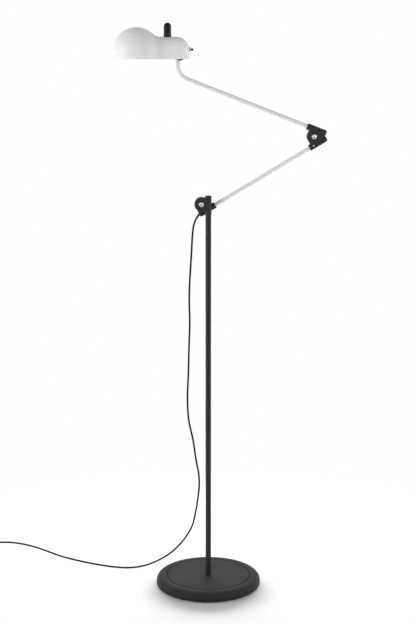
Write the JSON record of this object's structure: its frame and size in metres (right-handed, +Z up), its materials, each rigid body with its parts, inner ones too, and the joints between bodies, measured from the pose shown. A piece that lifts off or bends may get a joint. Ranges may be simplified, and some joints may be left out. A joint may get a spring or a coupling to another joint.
{
  "type": "floor lamp",
  "caption": "Floor lamp with a heavy disc base, slim pole, hinged elbow arm and a small domed shade that swivels and tilts and has a top handle",
  "frame": {"origin": "centre of the base's underside, on the floor", "axes": "+Z up along the pole; the shade's nose points to -X and the elbow stands out to +X; -Y is the side of the pivot bolts' heads"},
  "size_m": [1.0584, 0.5546, 1.4988],
  "materials": {
    "base_finish": "fine textured anthracite coating",
    "cast_weight": "rough casting",
    "soft_pad": "smooth soft sheet",
    "pole_finish": "satin anthracite coating",
    "plain_steel": "zinc plated",
    "bracket_finish": "die cast, satin black coating",
    "chrome": "polished plating",
    "washer_plastic": "smooth",
    "arm_finish": "satin white coating",
    "shade_finish": "smooth satin white coating",
    "grip_plastic": "polished black",
    "black_plastic": "satin black",
    "cord_sheath": "satin black sheath",
    "pin_metal": "nickel plated",
    "bulb": "frosted"
  },
  "bodies": {
    "root": {"base_rim": "base_finish", "base_plate": "base_finish", "base_weight": "cast_weight", "base_pad": "soft_pad", "pole_stud": "plain_steel", "base_washer": "plain_steel", "base_nut": "plain_steel", "pole": "pole_finish", "pole_spigot": "plain_steel", "pole_bracket": "bracket_finish", "pole_set_screw": "plain_steel", "lower_pivot_bolt": "chrome", "lower_pivot_nut": "plain_steel", "cord_drop": "cord_sheath", "cord_floor": "cord_sheath", "cord_coil": "cord_sheath", "cord_tie": "black_plastic", "plug_body": "black_plastic", "plug_pins": "pin_metal"},
    "lower_arm": {"lower_arm_bracket": "bracket_finish", "lower_arm_tube": "arm_finish", "elbow_rear_bracket": "bracket_finish", "lower_arm_set_screws": "plain_steel", "pivot_friction_washers": "washer_plastic", "pivot_spring_washers": "plain_steel", "cord_gland": "black_plastic", "cord_upper": "cord_sheath", "lower_arm_lead": "cord_sheath"},
    "upper_arm": {"elbow_front_bracket": "bracket_finish", "elbow_bolt": "chrome", "elbow_nut": "plain_steel", "upper_arm_tube": "arm_finish", "upper_arm_set_screw": "plain_steel", "upper_arm_lead": "cord_sheath", "swivel_post": "plain_steel", "swivel_washers": "washer_plastic", "swivel_nut": "plain_steel"},
    "knuckle": {"swivel_block": "bracket_finish"},
    "head": {"shade": "shade_finish", "head_frame": "plain_steel", "handle_spacer": "plain_steel", "handle_grip": "grip_plastic", "handle_collar": "black_plastic", "handle_screw": "plain_steel", "tilt_screw": "plain_steel", "tilt_knob": "black_plastic", "tilt_nut": "plain_steel", "tilt_washers": "washer_plastic", "lampholder": "black_plastic", "lampholder_ring": "black_plastic", "holder_nipple": "plain_steel", "holder_nut": "plain_steel", "bulb_glass": "bulb", "bulb_cap": "pin_metal", "switch_body": "black_plastic", "switch_bush": "chrome", "switch_nut": "chrome"},
    "toggle": {"switch_lever": "black_plastic"}
  },
  "joints": [
    {"name": "lower_pivot", "type": "hinge", "parent": "root", "child": "lower_arm", "pos_m": [-0.018, 0, 1.0371], "axis": [0, -1, 0], "range_deg": [-70, 60], "deforming": ["cord_upper"]},
    {"name": "elbow", "type": "hinge", "parent": "lower_arm", "child": "upper_arm", "pos_m": [0.27171, 0, 1.21179], "axis": [0, -1, 0], "range_deg": [-130, 45]},
    {"name": "head_swivel", "type": "hinge", "parent": "upper_arm", "child": "knuckle", "pos_m": [-0.07747, 0, 1.40663], "axis": [0, 0, 1], "range_deg": [-120, 120]},
    {"name": "head_tilt", "type": "hinge", "parent": "knuckle", "child": "head", "pos_m": [-0.07017, 0, 1.41363], "axis": [0, 1, 0], "range_deg": [-45, 45]},
    {"name": "switch_toggle", "type": "hinge", "parent": "head", "child": "toggle", "pos_m": [-0.05217, 0, 1.43163], "axis": [0, 0, 1], "range_deg": [0, 20]}
  ]
}
